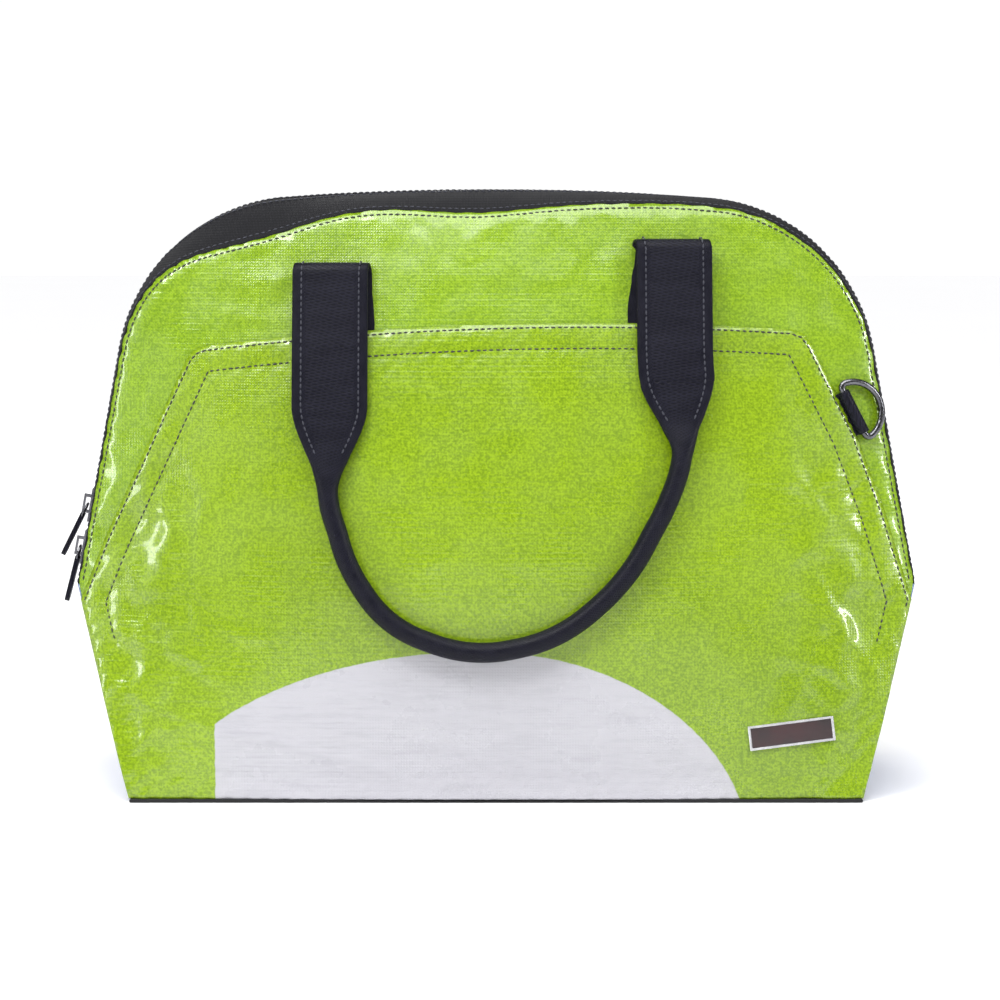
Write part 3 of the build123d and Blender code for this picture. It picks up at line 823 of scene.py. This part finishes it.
floor_mesh = bmesh.new()
bmesh.ops.create_grid(floor_mesh, x_segments=1, y_segments=1, size=6)
bmesh.ops.translate(floor_mesh, vec=(0, 0, -0.2 * MM), verts=floor_mesh.verts)
paper = Finish("floor_paper", 0.9)
paper.colour(paper.mix(paper.noise(3.0), (0.93, 0.93, 0.94), (0.91, 0.91, 0.92)))
floor = piece_of("floor", floor_mesh, paper.material, body=None, smooth=False)
floor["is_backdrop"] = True
print("base cover and floor")

# %% [markdown]
# Each handle is one strip of leather: flat where it is sewn under the overlay, folded over at the
# top, flat again in front, then wrapped round a cord to make the grip. The section is one family
# of shapes: a flat rounded bar at one end and a circle at the other, so a ring of points can be
# carried along the path and joined to the next. Every ring starts on the back, where the leather's
# long seam is, so the hatch's map has its own seam there too.

# %% Handle path and section
RING_POINTS = 28
STRAP_ROW = 4.7 * MM             # from the strap's edge to its stitch row
GRIP_ORIGIN = Vector((0, -97.2 * MM, 76 * MM))
GRIP_LEAN = 0.141
FRONT_OFF = 9 * MM


def on_face(x, z, off):
    """A point at x, z lifted off the form along y."""
    return Vector((x, form_y(x, z) - off, z))


def grip_point(across_mm, up_mm):
    """A point of the grip's leaning plane, from its lowest point."""
    up = Vector((0, GRIP_LEAN, 1)).normalized()
    return GRIP_ORIGIN + Vector((across_mm, 0, 0)) * MM + up * up_mm * MM


GRIP_ROUTE = [grip_point(*pair) for pair in ((-79.5, 53), (-56, 18), (-13, 2.0), (32, 11),
                                             (68, 42), (89, 84))]


def curve_through(points, step=1.8 * MM):
    """A smooth curve through points, by Catmull and Rom's rule, at an even step."""
    made = []
    padded = [2 * points[0] - points[1]] + points + [2 * points[-1] - points[-2]]
    for a, b, c, d in zip(padded, padded[1:], padded[2:], padded[3:]):
        count = max(2, round((c - b).length / step))
        for k in range(count):
            t = k / count
            made.append(0.5 * (2 * b + (c - a) * t + (2 * a - 5 * b + 4 * c - d) * t * t
                               + (3 * b - a - 3 * c + d) * t ** 3))
    return made + [points[-1]]


roll_tree = tree_of("front_handle_leather")


def centred(spot, run):
    """Moves a point across its path to the middle of the rolled leather."""
    side = run.cross(Vector((0, -1, GRIP_LEAN))).normalized()
    hits = [roll_tree.ray_cast(spot + side * sign * 18 * MM, side * -sign)[0] for sign in (1, -1)]
    if None in hits or (hits[0] - hits[1]).length > 16 * MM:
        return spot
    return (hits[0] + hits[1]) / 2


def ring_at(bm, spot, run, out, width, thick, roundness):
    """One ring of the section. Roundness 0 is a flat bar, 1 an ellipse."""
    run = run.normalized()
    if roundness < 0.02:                 # flat leather keeps level across the bag
        side = Vector((math.copysign(1, run.cross(out).x), 0, 0))
    else:
        out = (out - run * out.dot(run)).normalized()
        side = run.cross(out)
    ring = bmesh.ops.create_circle(bm, segments=RING_POINTS, radius=1, cap_ends=False)["verts"]
    power = 0.30 + 0.70 * roundness
    for index, vert in enumerate(ring):
        angle = 2 * math.pi * index / RING_POINTS - math.pi / 2
        flat, high = math.cos(angle), math.sin(angle)
        x = math.copysign(abs(flat) ** power, flat) * width / 2
        y = math.copysign(abs(high) ** power, high) * thick / 2
        rows = 1 - 0.14 * (1 - roundness) * bell(abs(x) - (width / 2 - STRAP_ROW), 1.2 * MM)
        vert.co = spot + side * x + out * y * rows
    return ring


def loft(path):
    """Joins rings along a path, with a UV map in metres round and along the piece. Each step of
    the path is a place, the outward direction, width, thickness and roundness."""
    bm = bmesh.new()
    layer = bm.loops.layers.uv.new("UVMap")
    rings, along, lengths = [], 0.0, []
    for index, (spot, out, width, thick, roundness) in enumerate(path):
        before = path[max(index - 1, 0)][0]
        after = path[min(index + 1, len(path) - 1)][0]
        along += (spot - before).length
        lengths.append(along)
        rings.append(ring_at(bm, spot, after - before, out, width, thick, roundness))
    place = {}
    for ring, length, (_, _, width, thick, roundness) in zip(rings, lengths, path):
        reach = 2 * (width + thick) * (1 - 0.21 * roundness)
        for index, vert in enumerate(ring):
            place[vert] = (index, length, reach)
    for first, second in zip(rings, rings[1:]):
        for index in range(RING_POINTS):
            following = (index + 1) % RING_POINTS
            face = bm.faces.new((first[index], first[following], second[following],
                                 second[index]))
            for loop in face.loops:
                number, length, reach = place[loop.vert]
                if following == 0 and number == 0:
                    number = RING_POINTS
                loop[layer].uv = ((number / RING_POINTS - 0.5) * reach, length)
    bmesh.ops.delete(bm, geom=[edge for edge in bm.edges if not edge.link_faces], context="EDGES")
    for ring in (rings[0], rings[-1]):
        lid = bm.faces.new(ring)
        for edge in lid.edges:
            edge.smooth = False
    bmesh.ops.recalc_face_normals(bm, faces=bm.faces[:])
    return bm


print("handle section ready, grip route", len(curve_through(GRIP_ROUTE)), "points")

# %% [markdown]
# Every seam shows as a row of short thread bumps. One bump is a small ball pulled long, sunk by
# half into the surface. A row is walked along its line at the machine's pitch. On the straps two
# rows run 4.7 mm inside the edges and hold the two layers together.

# %% Stitches
def walk(line, pitch):
    """Places and directions at an even pitch along a line of points."""
    left = pitch / 2
    for first, last in zip(line, line[1:]):
        length = (last - first).length
        while left <= length:
            yield first.lerp(last, left / length), (last - first).normalized()
            left += pitch
        left -= length


def stitch(bm, spot, run, out, index=0, length=2.7 * MM, wide=0.5 * MM):
    """One thread bump."""
    out = (out - run * out.dot(run)).normalized()
    side = run.cross(out)
    turn = Matrix((run, side, out)).transposed().to_4x4()
    place = Matrix.Translation(spot) @ turn @ Matrix.Diagonal((length / 2, wide, wide * 0.85, 1))
    made = bmesh.ops.create_uvsphere(bm, u_segments=6, v_segments=5, radius=1, matrix=place)
    for vert in made["verts"]:
        for face in vert.link_faces:
            face.material_index = index


def strap_stitches(bm, path):
    """Two rows near the strap's edges, on its outer face."""
    for sign in (1, -1):
        line, outs = [], []
        for index, (spot, out, width, thick, _) in enumerate(path):
            before, after = path[max(index - 1, 0)][0], path[min(index + 1, len(path) - 1)][0]
            run = (after - before).normalized()
            level = (out - run * out.dot(run)).normalized()
            aside = run.cross(level) * sign * (width / 2 - STRAP_ROW)
            line.append(spot + aside + level * thick * 0.44)
            outs.append(level)
        for spot, run in walk(line, 3.2 * MM):
            nearest = min(range(len(line)), key=lambda i: (line[i] - spot).length)
            stitch(bm, spot, run, outs[nearest], index=1)


print("stitch helpers ready")

# %% [markdown]
# A strap starts as a root under the overlay, runs up behind, folds over itself at the top and
# comes down in front, 9 mm off the face. Each loop is a piece of its own that rides on no body.

# %% Strap loops
STRAP_WIDTH = 39 * MM
STRAP_THICK = 2.1 * MM
SPLIT_Z = 236 * MM
ROOT_Z = 218 * MM
FOLD_DROP = 6 * MM               # the fold begins this far under the crest
FACE_UP = Vector((0, 0.29, 0.957))        # along the face at the height of the straps
FACE_OUT = Vector((0, -0.957, 0.29))
BACK_OFF = 1.0 * MM
BLEND_Z = 250 * MM


def strap_loop(middle, crest_z, shift):
    """Stations of one strap from its root, over the fold, to the split in front. The root
    lies a little to one side, by the shift."""
    made = []
    turn = (FRONT_OFF - BACK_OFF) / 2 * 0.957
    root = middle + shift
    top = on_face(root, crest_z - FOLD_DROP, BACK_OFF)
    for step in range(20):
        z = ROOT_Z + (crest_z - FOLD_DROP - ROOT_Z) * step / 19
        aside = -0.5 * shift * smooth_step(step, 6, 19)
        made.append((on_face(root, z, BACK_OFF) + Vector((aside, 0, 0)), -FACE_OUT))
    centre = top + FACE_OUT * turn
    for step in range(1, 12):
        angle = math.pi * step / 12
        lift = FACE_UP * math.sin(angle) * turn * 1.15 - FACE_OUT * math.cos(angle) * turn
        away = FACE_UP * math.sin(angle) - FACE_OUT * math.cos(angle)
        aside = Vector((-shift * (0.5 + 0.5 * step / 12), 0, 0))
        made.append((centre + lift + aside, away))
    front_top = centre + FACE_OUT * turn - Vector((shift, 0, 0))
    front_low = on_face(middle, SPLIT_Z, FRONT_OFF)
    for step in range(16):
        made.append((front_top.lerp(front_low, step / 15), FACE_OUT))
    return [(spot, out, STRAP_WIDTH, STRAP_THICK, 0.0) for spot, out in made]


STRAPS = (("left", -85.5 * MM, 278 * MM, 4 * MM), ("right", 92 * MM, 290 * MM, -5.5 * MM))
for side, middle, crest_z, shift in STRAPS:
    path = strap_loop(middle, crest_z, shift)
    bm = loft(path)
    strap_stitches(bm, path)
    for face_name, source in (("front", bm), ("back", turned_half(bm))):
        loop_piece = piece_of(f"{face_name}_strap_loop_{side}", source, strap_leather, body=None,
                              second=navy_thread)
        start = on_face(middle, BLEND_Z, 1.6 * MM)
        end = start + FACE_OUT * (on_face(middle, BLEND_Z, 7.6 * MM) - start).dot(FACE_OUT)
        if face_name == "back":
            start, end = HALF_TURN @ start, HALF_TURN @ end
        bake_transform(loop_piece)
        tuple(start)
        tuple(end)
        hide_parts(f"{face_name}_strap_anchor_{side}")
print("4 strap loops")

# %% [markdown]
# Below the split the strap narrows and wraps round the cord. Width shrinks while thickness grows,
# and the section turns from a bar into a circle; the rolled part follows the middle of the grip.

# %% Grip
TAPER_LOW = {"left": 152 * MM, "right": 170 * MM}
TAPER_HIGH = {"left": 206 * MM, "right": 222 * MM}
GRIP_THICK = 10.4 * MM
ROLL_TOP = 158 * MM              # the grip is fully rolled under this height


def grip_stations():
    """Stations of the front strap ends and the grip, from the left split to the right one."""
    left_x, right_x = STRAPS[0][1], STRAPS[1][1]
    path = [on_face(left_x - 0.4 * MM * max(0, 204 - z) / 20, z * MM, FRONT_OFF)
            for z in range(236, 179, -8)]
    path += [grip_point(-86, 84)] + GRIP_ROUTE + [grip_point(95.4, 106)]
    path += [on_face(right_x + 3.0 * MM * smooth_step(z, 236, 190), z * MM, FRONT_OFF)
             for z in range(196, 237, 8)]
    curve = curve_through(path)
    runs = [after - before for before, after in zip(curve[:1] + curve, curve[1:] + curve[-1:])]
    curve = [spot.lerp(centred(spot, run), smooth_step(spot.z, ROLL_TOP, ROLL_TOP - 20 * MM))
             if spot.z < ROLL_TOP else spot for spot, run in zip(curve, runs)]
    made = []
    for spot in curve:
        side = "left" if spot.x < 0 else "right"
        rolled = smooth_step(spot.z, TAPER_HIGH[side], TAPER_LOW[side])
        narrow = smooth_step(spot.z, TAPER_HIGH[side], TAPER_LOW[side] + 8 * MM)
        width = STRAP_WIDTH + (GRIP_THICK - STRAP_WIDTH) * narrow
        thick = STRAP_THICK + (GRIP_THICK - STRAP_THICK) * rolled ** 1.3
        out = FACE_OUT.lerp(Vector((0, -1, GRIP_LEAN)), rolled)
        made.append((spot, out, width, thick, rolled))
    return made


grip_path = grip_stations()
grip = loft(grip_path)
print("grip", len(grip.faces), "faces")
for sign in (-1, 1):
    strap_stitches(grip, [step for step in grip_path if step[4] < 0.5 and step[0].x * sign > 0])
both_sides("grip_leather", grip, strap_leather, ["handle_leather"], body="handle",
           second=navy_thread)
core = loft([(spot, out, 6.6 * MM, 6.6 * MM, 1.0) for spot, out, _, _, rolled in grip_path
             if rolled > 0.97])
both_sides("grip_core", core, core_cloth, ["handle_core"], body="handle")

# %% [markdown]
# The rows on the faces: one round the yoke, two round the overlay. A row keeps an even distance
# from a convex outline, so it is the outline cut back along each of its sides.

# %% Rows on the faces
def row_inside(outline, inset):
    """The closed line at an even distance inside a convex outline."""
    bm = bmesh.new()
    face = bm.faces.new([bm.verts.new((p.x, 0, p.y)) for p in outline])
    for first, last in zip(outline, outline[1:] + outline[:1]):
        out = Vector((last.y - first.y, 0, first.x - last.x)).normalized()
        bmesh.ops.bisect_plane(bm, geom=bm.verts[:] + bm.edges[:] + bm.faces[:], dist=1e-7,
                               plane_co=Vector((first.x, 0, first.y)) - out * inset, plane_no=out,
                               clear_outer=True)
    bm.faces.ensure_lookup_table()
    loop = [Vector((v.co.x, v.co.z)) for v in bm.faces[0].verts]
    bm.free()
    return loop + loop[:1]


def face_row(name, outline, inset, offset, warp, low):
    """A stitch row on one of the faces, from a height upwards, and its twin at the back."""
    bm = bmesh.new()
    flat = [Vector((p.x, 0, p.y)) for p in row_inside(outline, inset)]
    count = 0
    for spot, run in walk(flat, STITCH_PITCH):
        if spot.z < low:
            continue
        z = sagged(spot.x, spot.z) if warp else spot.z
        y = form_y(spot.x, min(z, spot.z)) - offset(spot.x, spot.z) - 0.12 * MM
        stitch(bm, Vector((spot.x, y, z)), run, Vector((0, -1, 0.15)))
        count += 1
    print(name, count, "stitches")
    both_sides(name, bm, black_thread)


face_row("yoke_stitches", body_outline, YOKE_ROW, yoke_offset, True, 112 * MM)
face_row("overlay_outer_stitches", overlay_outline, OUTER_ROW, overlay_offset, False, 100 * MM)
face_row("overlay_inner_stitches", overlay_outline, INNER_ROW, overlay_offset, False, 82 * MM)

# %% [markdown]
# The zip tape is a narrow woven band between the strip's edge and the teeth; the strip's edge is
# turned under and topstitched 2 mm from the tape.

# %% Zip tape and strip stitches
TAPE_EDGE = 3.7 * MM             # the tape's edge under the teeth, from the middle
TAPE_WIDE = 10.5 * MM
TAPE_UNDER = 1.3 * MM
tape = bmesh.new()
bmesh.ops.create_grid(tape, x_segments=len(above) - 1, y_segments=4, size=0.5)
for vert in tape.verts:
    index = above[round((vert.co.x + 0.5) * (len(above) - 1))]
    level = zip_point(index) - outward(index) * TAPE_UNDER
    vert.co = Vector((level.x, -TAPE_EDGE - TAPE_WIDE * (0.5 - vert.co.y), level.y))
both_sides("tape_skin", tape, tape_cloth, ["zip_tape"], thick=0.8 * MM)

strip_rows = bmesh.new()
for share in (0.10, 0.93):
    line = [across(index, share, STRIP_GAP, STRIP_CROWN) for index in above]
    for spot, run in walk(line, STITCH_PITCH):
        side = Vector((spot.x, 0, spot.z - 130 * MM)).normalized()
        stitch(strip_rows, spot + side * 0.1 * MM, run, side)
both_sides("strip_stitches", strip_rows, navy_thread)
print("tape and strip rows")

# %% [markdown]
# The lining is a loose nylon bag inside. It hangs a little smaller than the shell and can't be
# seen with the zip shut, so it is the lining's own form, drawn in and gently creased.

# %% Lining
LINING_LOW = 4.6 * MM
lining_bag = bmesh.new()
lining_bag.from_mesh(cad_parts["lining"].data)
bmesh.ops.remove_doubles(lining_bag, verts=lining_bag.verts[:], dist=0.01 * MM)
for vert in lining_bag.verts:
    high = smooth_step(vert.co.z, 180 * MM, 300 * MM)
    crease = 1.5 * MM * noise.noise(vert.co * 30)
    vert.co.x *= 0.965
    vert.co.y = vert.co.y * (0.955 - 0.10 * high) + crease
    vert.co.z = LINING_LOW + (vert.co.z - LINING_LOW) * (1 - 0.075 * high)
piece_of("lining_bag", lining_bag, lining_cloth, ["lining"])
print("lining drawn in")

# %% [markdown]
# The small leather tabs are cut with a punch and folded round their rings, then pressed, which
# rounds every edge. Their faces are joined into plain sides first, so that the rounding runs
# cleanly along each real edge.

# %% Small leather tabs
def pressed_tab(node, body, rounding):
    bm = bmesh.new()
    bm.from_mesh(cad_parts[node].data)
    bmesh.ops.remove_doubles(bm, verts=bm.verts[:], dist=0.005 * MM)
    bmesh.ops.dissolve_limit(bm, angle_limit=math.radians(4), verts=bm.verts[:],
                             edges=bm.edges[:], delimit=set())
    sharp = [edge for edge in bm.edges if len(edge.link_faces) == 2
             and edge.calc_face_angle() > math.radians(50)]
    bmesh.ops.bevel(bm, geom=sharp, offset=rounding, affect="EDGES", segments=3, profile=0.5,
                    clamp_overlap=True, material=-1)
    piece_of(f"{node}_leather", bm, trim_leather, [node], body)


pressed_tab("upper_pull_tab", "upper_pull", 0.35 * MM)
pressed_tab("lower_pull_tab", "lower_pull", 0.35 * MM)
pressed_tab("front_d_ring_tab", "bag", 0.25 * MM)
pressed_tab("back_d_ring_tab", "bag", 0.25 * MM)
print("4 tabs pressed")

# %% [markdown]
# The bag's box is printed twice, from the CAD and from the finished pieces. The finished bag
# may be only a little larger.

# %% Print the sizes
boxes = {"cad": [[float(value) for value in corner] for corner in cad_box],
         "visual": [[float(value) for value in corner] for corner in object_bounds()]}
for name, box in boxes.items():
    print(name, [round(value / MM, 1) for corner in box for value in corner])
